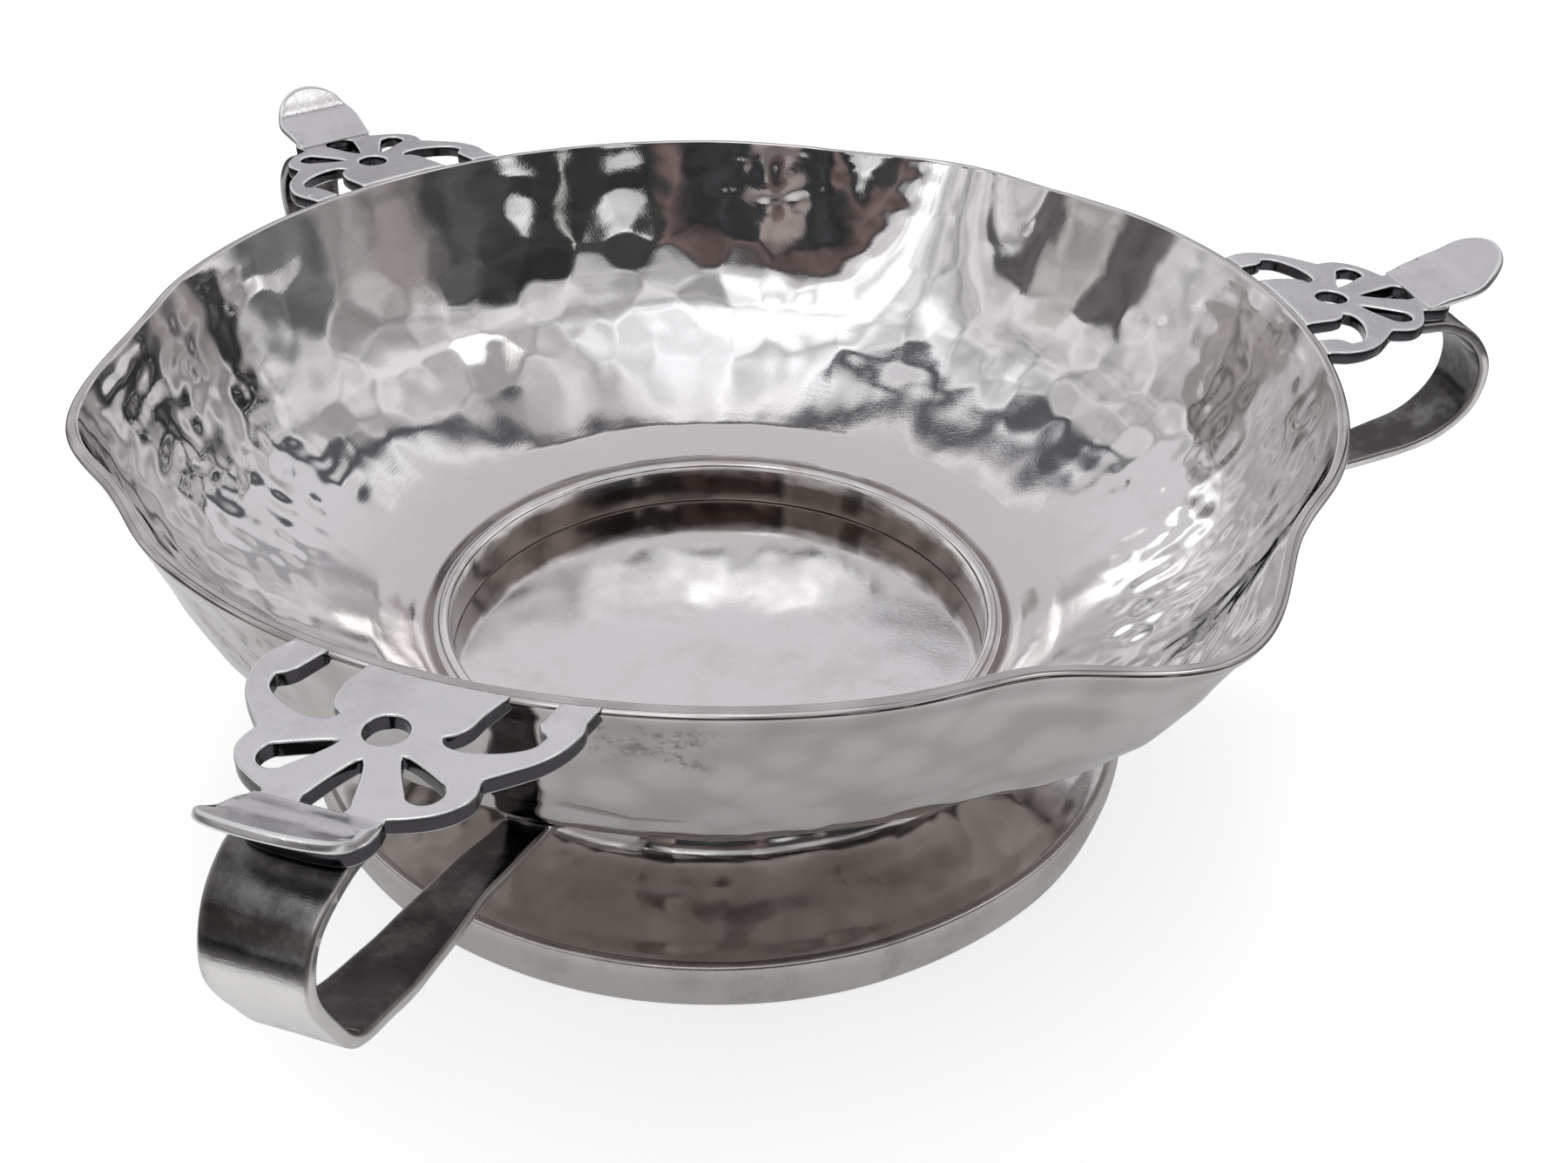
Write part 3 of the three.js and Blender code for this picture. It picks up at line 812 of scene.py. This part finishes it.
def collar():
    """The well's turned wall, with its lip standing over the bowl's floor."""
    section = rounded([
        (well_radius, 0.0),
        (collar_outer_radius, 0.0),
        (collar_outer_radius, 3.4),
        (bowl_hole_radius + 0.25, 3.9),
        (bowl_hole_radius + 0.35, 4.9),
        (collar_outer_radius, 5.15),
        (collar_outer_radius - 0.12, well_lip_z),
        (well_radius + 0.3, well_lip_z),
        (well_radius, 5.0),
        (well_radius, 2.6),
    ], 0.28)
    net = revolved(section, ring_segments)
    z = net[..., 2]
    push = waves(full_turn(ring_segments)[None, :], z, 0.02, 70, 30, 32, 41)
    return net_piece("well_ring", widened(net, push * ease(z, 0.5, 5)))


def disc():
    """The well's flat floor, very slightly rippled on top."""
    turn = np.radians(full_turn(240))
    outline = (well_radius + 0.6) * np.column_stack([np.cos(turn), np.sin(turn)])

    def shape(points):
        radius = np.hypot(points[:, 0], points[:, 1])
        azimuth = np.degrees(np.arctan2(points[:, 1], points[:, 0]))
        dish = waves(azimuth, radius, 0.014, 44, 22, 22, 47) + waves(azimuth, radius, 0.006, 12, 6, 22, 53)
        dish = dish * ease(radius, 1, 9)
        points[:, 2] -= (dish.max() - dish) * (points[:, 2] > -0.6)
        return points

    return slab("well_floor", outline, [], -disc_thickness, 0.0, arris=0.1, spacing=1.0, shape=shape)


dress(collar(), collar_silver, "polished_well", "well_collar")
dress(disc(), well_silver, "polished_well", "well_disc")


# Foot

def skirt():
    """The flared sheet, with hammer marks outside."""
    steps = 64
    segments = 600
    outer = smooth(foot_outside, steps)
    inner = outer - left_of(outer) * foot_sheet
    azimuth = full_turn(segments)[None, :]
    run = np.linspace(0, 1, steps + 1)[:, None] * 20
    marks = facets(azimuth, run, skirt_radius, cell=6.5, roundness=120, softness=0.03, seed=61, tilt=0.004)
    depth = marks.max() - marks + np.abs(waves(azimuth, run, 0.06, 30, 12, skirt_radius, 67))
    fade = ease(run, 0, 3) * (1 - ease(run, 17, 20))
    outer_net = dented(outer, -depth * fade, azimuth)
    return net_piece("flared_skirt", np.concatenate([outer_net, revolved(inner[::-1], segments)]))


def band():
    """The ring that the bowl stands on."""
    section = rounded([
        (band_inner_radius, foot_bottom_z),
        (band_bottom_radius, foot_bottom_z),
        (band_top_radius - 0.1, -8.9),
        (band_top_radius, -7.4),
        (band_top_radius - 0.35, foot_shoulder_z),
        (46.9, foot_shoulder_z - 0.1),
        (band_inner_radius, -7.9),
    ], 0.4)
    net = revolved(section, ring_segments)
    push = waves(full_turn(ring_segments)[None, :], net[..., 2], 0.05, 60, 20, 48, 71)
    return net_piece("foot_ring", widened(net, -np.abs(push)))


dress(skirt(), shaded_foot_silver, "planished_foot", "foot_skirt")
dress(band(), shaded_band_silver, "planished_foot", "foot_band")


# Handles

def mirrored(points):
    """Points in the plane on the other side of the X axis."""
    return points * (1, -1)


def petal(tip, end, end_radius):
    """A drop-shaped piercing: a sharp tip, two gently bowed sides and a round end."""
    tip, end = np.array(tip, float), np.array(end, float)
    length = np.linalg.norm(end - tip)
    axis = (end - tip) / length
    side = np.array([-axis[1], axis[0]])
    shares = np.linspace(0, 0.93, 9)[1:]
    points = [tip]
    points += [tip + axis * t * length + side * end_radius * 0.97 * t**0.75 for t in shares]
    for turn in np.linspace(math.pi / 2, -math.pi / 2, 19):
        points.append(end + axis * end_radius * math.cos(turn) + side * end_radius * math.sin(turn))
    points += [tip + axis * t * length - side * end_radius * 0.97 * t**0.75 for t in shares[::-1]]
    return np.array(points)


def plate_outline(azimuth):
    """The plate's outer edge with its two half-moons, which open onto the lip."""
    sunk = -0.35
    half = plate_half_width - 0.3
    upper = np.vstack([
        smooth(outer_lobe, 26)[1:-1],
        smooth(middle_lobe, 30)[:-1],
        smooth(tip_lobe, 18),
    ])
    moon = np.vstack([smooth(moon_ogee, 8), smooth(moon_arc, 34)[1:], smooth(moon_inner, 12)[1:]])
    return np.vstack([
        lip_edge(azimuth, np.array([half]), sunk),
        upper,
        mirrored(upper[:-1])[::-1],
        lip_edge(azimuth, np.linspace(-half, -moon_neck_outer_y, 7), sunk),
        mirrored(moon),
        lip_edge(azimuth, np.linspace(-moon_neck_inner_y, moon_neck_inner_y, 25), sunk),
        moon[::-1],
        lip_edge(azimuth, np.linspace(moon_neck_outer_y, half, 7)[:-1], sunk),
    ])


def plate(handle, seed):
    """A flat pierced sheet, slightly uneven on top."""
    azimuth = handle["azimuth"]
    x, radius = round_hole
    turn = np.radians(full_turn(36))
    circle = np.column_stack([x + radius * np.cos(turn), radius * np.sin(turn)])
    side = petal(*side_petal)
    holes = [petal(*centre_petal), side, mirrored(side), circle]
    rng = np.random.default_rng(seed)
    phases = rng.uniform(0, 2 * math.pi, 3)

    def shape(points):
        px, py = points[:, 0], points[:, 1]
        dip = 0.035 * np.sin(px / 2.3 + phases[0]) * np.sin(py / 3.1 + phases[1])
        dip = dip + 0.02 * np.sin(px / 1.3 + py / 2.2 + phases[2])
        points[:, 2] -= np.abs(dip) * ease(points[:, 2], plate_top_z - 0.8, plate_top_z - 0.1)
        return turned_about(points, azimuth)

    outline = evenly(plate_outline(azimuth), 0.35)
    bottom_z = plate_top_z - plate_thickness
    name = f"pierced_plate_{handle['name']}"
    return slab(name, outline, holes, bottom_z, plate_top_z, arris=0.29, spacing=0.75, shape=shape)


def thumb(handle):
    """A flat tongue bent up along its side profile."""
    crease_x, crease_z = handle["crease"]
    tip_x, tip_z = handle["tip"]
    slope = (tip_z - crease_z) / (tip_x - crease_x)
    drop = 0.7
    scoop = 0.66
    overrun = 1.5
    under = smooth([
        (thumb_inner_x, 0),
        ((thumb_inner_x + crease_x) / 2, crease_z * 0.2),
        (crease_x, crease_z - drop),
        ((crease_x + tip_x) / 2, (crease_z + tip_z) / 2 - scoop),
        (tip_x, tip_z - drop),
        (tip_x + overrun, tip_z - drop + overrun * slope),
    ], 120)
    up = left_of(under)
    turns = np.linspace(-math.pi / 2, math.pi / 2, 41)
    reach = np.maximum(0, np.cos(turns)) ** 0.85
    end = np.column_stack([
        handle["round_x"] + (tip_x - handle["round_x"]) * reach,
        thumb_half_width * np.sin(turns),
    ])
    root_x, root_y = thumb_inner_x + 0.1, thumb_half_width - 0.5
    outline = evenly(np.vstack([[(root_x, root_y), (root_x, -root_y)], end]), 0.4)

    def shape(points):
        x = points[:, 0]
        z = points[:, 2] * (0.4 + 0.6 * ease(x, thumb_inner_x, thumb_inner_x + thumb_feathered))
        base_x, base_z, lean_x, lean_z = (np.interp(x, under[:, 0], v) for v in (*under.T, *up.T))
        sink = (thumb_settle + 0.12) * (1 - ease(x, thumb_inner_x, crease_x))
        height = plate_top_z + thumb_settle + base_z - sink + lean_z * z
        bent = np.column_stack([base_x + lean_x * z, points[:, 1], height])
        return turned_about(bent, handle["azimuth"])

    name = f"thumb_rest_{handle['name']}"
    return slab(name, outline, [], 0.0, thumb_thickness, arris=0.3, spacing=0.6, shape=shape)


def rounded_bar(half_width, half_thickness, corner):
    """A flat bar's section as (across, through) points, with rounded edges and points on each face."""
    points = []
    for sign_y, sign_n, start in ((1, 1, 90), (1, -1, 0), (-1, -1, -90), (-1, 1, 180)):
        for k in range(6):
            turn = math.radians(start - 18 * k)
            points.append((
                sign_y * (half_width - corner) + corner * math.cos(turn),
                sign_n * (half_thickness - corner) + corner * math.sin(turn),
            ))
        if sign_y * sign_n < 0:
            across = np.linspace(half_width - corner, corner - half_width, 10)[1:-1]
            points += [(sign_y * y, sign_n * half_thickness) for y in across]
    return np.array(points)


def strap(handle, seed):
    """A bar carried along its route and soldered to the bowl with a small fillet."""
    steps = 220
    corner = 0.42
    fillet_reach = 2.4
    sunk = 0.12
    route = np.array([
        (
            x + handle["bulge"] * float(bump(z - bulge_z, bulge_half_height)),
            handle["lean"] * max(0, (z - lean_start_z) / (plate_top_z - lean_start_z)),
            z,
        )
        for x, z in strap_route
    ])
    places = np.linspace(0, len(route) - 1, steps + 1)
    line = spline(route, places)
    width = np.interp(places, range(len(route)), strap_widths)
    world = turned_about(line, handle["azimuth"])
    contact = int(np.argmax(gap_to_bowl(world) < fillet_reach))
    rng = np.random.default_rng(seed)
    phases = rng.uniform(0, 2 * math.pi, 4)
    tangent = np.gradient(line, axis=0)
    tangent[:, 1] = 0
    tangent = unit(tangent)
    out = np.column_stack([-tangent[:, 2], np.zeros(len(line)), tangent[:, 0]])
    run = run_along(line)
    rings = []
    for i in range(contact):
        uneven = 0.10 * math.sin(run[i] / 2.9 + phases[0]) + 0.07 * math.sin(run[i] / 1.4 + phases[1])
        section = rounded_bar(width[i] / 2 - 0.1 + 0.5 * uneven, strap_thickness / 2 - 0.03, corner)
        y, n = section.T
        marks = np.sin(run[i] / 1.9 + y / 1.7 + phases[2]) * np.sin(run[i] / 2.6 - y / 2.1 + phases[3])
        n = n - 0.035 * np.abs(marks) * np.sign(n)
        rings.append(line[i] + np.outer(y, (0, 1, 0)) + np.outer(n, out[i]))
    last = rings[-1]
    centre = last.mean(axis=0)
    heading = tangent[contact - 1]
    for spread, back in ((0.0, 0.7), (0.12, 0.3), (0.35, 0.1), (0.75, 0.0)):
        start = last + unit(last - centre) * spread
        near, far = np.full(len(start), -4.0), np.full(len(start), 9.0)
        for _ in range(40):
            half = (near + far) / 2
            reached = turned_about(start + half[:, None] * heading, handle["azimuth"])
            outside = gap_to_bowl(reached) > -sunk
            near = np.where(outside, half, near)
            far = np.where(outside, far, half)
        rings.append(start + (near - back)[:, None] * heading)
    columns = len(rings[0])
    points = turned_about(np.vstack(rings), handle["azimuth"])
    faces = ring_faces(len(rings), columns, False)
    faces.append(tuple(range(columns)))
    faces.append(tuple((len(rings) - 1) * columns + k for k in range(columns))[::-1])
    return facing_out(make_object(f"loop_strap_{handle['name']}", points, faces))


for number, handle in enumerate(handles):
    side_name = handle["name"]
    dress(plate(handle, 80 + number), handle_silver, "filed_handles", f"plate_{side_name}")
    dress(thumb(handle), thumb_silver, "filed_handles", f"thumb_{side_name}")
    dress(strap(handle, 90 + number), strap_silver, "worn_straps", f"strap_{side_name}")


# Floor, world and lamps

# The floor's glow for the camera and for mirror rays. The rest of its light is real.
paper_colour = (0.6, 0.6, 0.6)
glow_to_camera = 0.60
glow_to_metal = 0.15
# The table is lit near the bowl only, so mirror rays find it dim further off: metres from the axis.
lit_radius = 0.15
dim_radius = 0.24
dim_colour = (0.06, 0.057, 0.055)


def floor():
    """A pale floor that turns white to the camera and keeps the shadow."""
    bpy.ops.mesh.primitive_plane_add(size=6, location=(0, 0, foot_bottom_z * MM))
    ground = bpy.context.object
    ground.name = "studio_floor"
    material = bpy.data.materials.new("floor_paper")
    tree, shader = nodes_of(material)
    tree.nodes.remove(shader)
    path = tree.nodes.new("ShaderNodeLightPath").outputs
    to_camera = times(path["Is Camera Ray"], glow_to_camera)
    to_metal = times(path["Is Glossy Ray"], glow_to_metal)
    paper = new_node(tree, "ShaderNodeBsdfDiffuse", {"Color": (*paper_colour, 1)})
    glow = new_node(tree, "ShaderNodeEmission", {"Strength": plus(to_camera, to_metal)})
    both = tree.nodes.new("ShaderNodeAddShader")
    put(paper.outputs["BSDF"], both.inputs[0])
    put(glow.outputs["Emission"], both.inputs[1])
    far_off = range_node(vector_node("LENGTH", surface(tree, "Position")), lit_radius, dim_radius, 0, 0.92)
    dim = new_node(tree, "ShaderNodeEmission", {"Color": (*dim_colour, 1)})
    dimmed = new_node(tree, "ShaderNodeMixShader", {"Fac": times(far_off, path["Is Glossy Ray"])})
    put(both.outputs["Shader"], dimmed.inputs[1])
    put(dim.outputs["Emission"], dimmed.inputs[2])
    put(dimmed.outputs["Shader"], tree.nodes["Material Output"].inputs["Surface"])
    ground.data.materials.append(material)


# What polished metal sees round the studio. Each patch: azimuth and its half width, elevation and its
# half height, the softness of its edges, all in degrees, and its colour. Azimuth 0 is +X and 90 is +Y.
# Later patches lie over earlier ones.
studio_base = (0.62, 0.61, 0.62)
studio_patches = [
    # White light high over the camera's side.
    (300, 150, 75, 22, 14, (0.98, 0.98, 1.0)),
    (30, 34, 60, 16, 14, (0.66, 0.64, 0.65)),
    (13, 8, 51, 4, 2, (1.8, 1.8, 1.75)),
    (275, 26, 58, 11, 6, (1.5, 1.5, 1.5)),
    (318, 24, 52, 5, 8, (0.62, 0.61, 0.62)),
    # The dim room to the left and right of the camera.
    (16, 8, 12, 12, 5, (0.46, 0.44, 0.44)),
    (31, 8, 4, 8, 4, (0.20, 0.20, 0.20)),
    (5, 6, 10, 12, 4, (0.26, 0.24, 0.24)),
    (197, 9, 6, 12, 3, (0.13, 0.125, 0.125)),
    (220, 12, 14, 14, 4, (0.45, 0.44, 0.43)),
    (246, 9, 22, 14, 4, (0.36, 0.35, 0.34)),
    (232, 12, 20, 9, 4, (0.40, 0.38, 0.37)),
    (228, 4, 30, 5, 2, (0.15, 0.14, 0.13)),
    # The dark side behind the camera, with what stands there.
    (305, 43, 12, 22, 4, (0.05, 0.05, 0.05)),
    (352, 4, 14, 14, 4, (0.10, 0.10, 0.10)),
    (286, 19, 22, 10, 3, (0.17, 0.125, 0.12)),
    (287, 12, 17, 10, 4, (0.045, 0.045, 0.048)),
    (284, 8, 10, 1.6, 1.2, (0.60, 0.60, 0.58)),
    (273, 2, 18, 7, 1.5, (0.30, 0.26, 0.25)),
    (315, 2.5, 22, 2.5, 1.0, (1.0, 1.0, 1.0)),
    (338, 1.5, 17, 3, 1.0, (0.9, 0.9, 0.9)),
    (327, 0.5, 20, 9, 0.5, (0.7, 0.7, 0.66)),
]
# The pale backdrop on the far side is seen inside a cone: its azimuth, elevation and half angle. Rings run
# round its edge, a dark seam and a light line: how far outside the edge, half width, softness and colour.
backdrop = (111, 56, 37.5)
backdrop_colour = (0.67, 0.66, 0.68)
table_colour = (0.85, 0.83, 0.82)
seam_colour = (0.10, 0.10, 0.11)
backdrop_rings = [
    (0.5, 0.5, 1.8, seam_colour),
    (-2.2, 0.15, 0.4, (1.0, 1.0, 1.0)),
]
backdrop_patches = [
    (111, 43, 14, 22, 1.5, backdrop_colour),
    (108, 16, 8, 16, 1.5, backdrop_colour),
    (108, 9, 29.5, 2.5, 1.0, table_colour),
    (108, 10, 32.8, 0.15, 0.5, (1.1, 1.1, 1.1)),
    (102, 2.5, 33.5, 1.2, 1.2, (0.12, 0.11, 0.12)),
    (97, 5, 31.5, 0.8, 2.0, (0.45, 0.42, 0.43)),
    (108, 3, 28, 1.2, 2.5, (0.42, 0.37, 0.38)),
    (124, 3, 31, 1.0, 1.5, (0.35, 0.35, 0.33)),
    # Dimmer parts of the backdrop, for the left and right plates to mirror, and a seam at its side.
    (123, 5, 18, 4, 2.5, (0.36, 0.355, 0.37)),
    (87, 5, 21, 4, 2.5, (0.38, 0.375, 0.39)),
    (66, 1.5, 20, 14, 2, seam_colour),
]


def toward(azimuth, elevation):
    """The unit vector at an azimuth and an elevation in degrees."""
    turn, rise = math.radians(azimuth), math.radians(elevation)
    return Vector((math.cos(turn) * math.cos(rise), math.sin(turn) * math.cos(rise), math.sin(rise)))


def studio_world():
    """White for the camera and pale for plain surfaces; polished metal sees the studio's patches."""
    world = bpy.data.worlds.new("studio")
    bpy.context.scene.world = world
    world.use_nodes = True
    tree = world.node_tree
    background = tree.nodes["Background"]
    direction = tree.nodes.new("ShaderNodeTexCoord").outputs["Generated"]
    axes = axes_of(direction)
    path = tree.nodes.new("ShaderNodeLightPath").outputs
    to_degrees = 180 / math.pi

    def swayed(value, *sizes):
        for strength, scale in sizes:
            sway = math_node("SUBTRACT", noise_node(direction, scale), 0.5)
            value = plus(value, times(sway, strength))
        return value

    azimuth = times(math_node("ARCTAN2", axes["Y"], axes["X"]), to_degrees)
    azimuth = swayed(azimuth, (9, 1.8), (6, 6.5), (4, 20))
    elevation = times(math_node("ARCSINE", axes["Z"]), to_degrees)
    elevation = swayed(elevation, (9, 2.2), (6, 7), (4, 22))

    def window(value, centre, half, softness, round_turn):
        away = math_node("SUBTRACT", value, centre)
        if round_turn:
            away = math_node("MODULO", plus(away, 180 + 720), 360)
            away = math_node("SUBTRACT", away, 180)
        return range_node(math_node("ABSOLUTE", away), half, half + softness, 1, 0)

    def patched(colour, patches):
        for centre, half_width, height, half_height, softness, shade in patches:
            across = window(azimuth, centre, half_width, softness, True)
            upright = window(elevation, height, half_height, softness, False)
            colour = mix_node(times(across, upright), colour, shade)
        return colour

    mottle = tree.nodes.new("ShaderNodeVectorMath")
    mottle.operation = "SCALE"
    put(patched(studio_base, studio_patches), mottle.inputs[0])
    put(range_node(noise_node(direction, 5.3, 3, 0.6), 0.3, 0.7, 0.55, 1.3), mottle.inputs["Scale"])

    turn, rise, half_angle = backdrop
    across = vector_node("DOT_PRODUCT", direction, toward(turn, rise))
    away = times(math_node("ARCCOSINE", across), to_degrees)
    away = swayed(away, (10, 3), (4, 14))
    within_cone = range_node(away, half_angle - 1, half_angle + 1, 1, 0)
    colour = mix_node(within_cone, mottle.outputs["Vector"], backdrop_colour)
    for offset, half, softness, shade in backdrop_rings:
        ring = window(away, half_angle + offset, half, softness, False)
        colour = mix_node(ring, colour, shade)
    colour = patched(colour, backdrop_patches)
    lit = mix_node(path["Is Diffuse Ray"], colour, (0.9, 0.9, 0.9))
    shown = mix_node(path["Is Camera Ray"], lit, (1.0, 1.0, 1.0))
    put(shown, background.inputs["Color"])
    put(1, background.inputs["Strength"])


def lamp():
    """A soft lamp for the floor; metal sees the studio's white patches instead."""
    place = Vector((-0.15, 0.25, 0.9))
    data = bpy.data.lights.new("overhead_softbox", "AREA")
    data.shape = "RECTANGLE"
    data.size, data.size_y = 0.5, 0.4
    data.energy = 1.6
    holder = bpy.data.objects.new("overhead_softbox", data)
    holder.location = place
    holder.rotation_euler = (-place).to_track_quat("-Z", "Y").to_euler()
    bpy.context.scene.collection.objects.link(holder)
    holder.visible_glossy = False


floor()
studio_world()
lamp()


# Camera

# Where the photograph was taken from, in millimetres. The azimuth and elevation, in degrees, are of the
# line back to it from what it looks at.
camera_place = (58.05, -156.45, 118.25)
camera_azimuth = -72.238
camera_elevation = 33.525
camera_roll = 1.337
camera_lens = 39.33


def camera():
    back = toward(camera_azimuth, camera_elevation)
    roll = math.radians(camera_roll)
    level = Vector((0, 0, 1)).cross(back).normalized()
    right = level * math.cos(roll) + back.cross(level) * math.sin(roll)
    data = bpy.data.cameras.new("photo_camera")
    data.sensor_width = 36
    data.lens = camera_lens
    data.clip_start, data.clip_end = 0.01, 20
    holder = bpy.data.objects.new("photo_camera", data)
    turn = Matrix((right, back.cross(right), back)).transposed()
    holder.matrix_world = Matrix.Translation(Vector(camera_place) * MM) @ turn.to_4x4()
    bpy.context.scene.collection.objects.link(holder)
    bpy.context.scene.camera = holder


camera()
bpy.context.scene.view_settings.view_transform = "Standard"
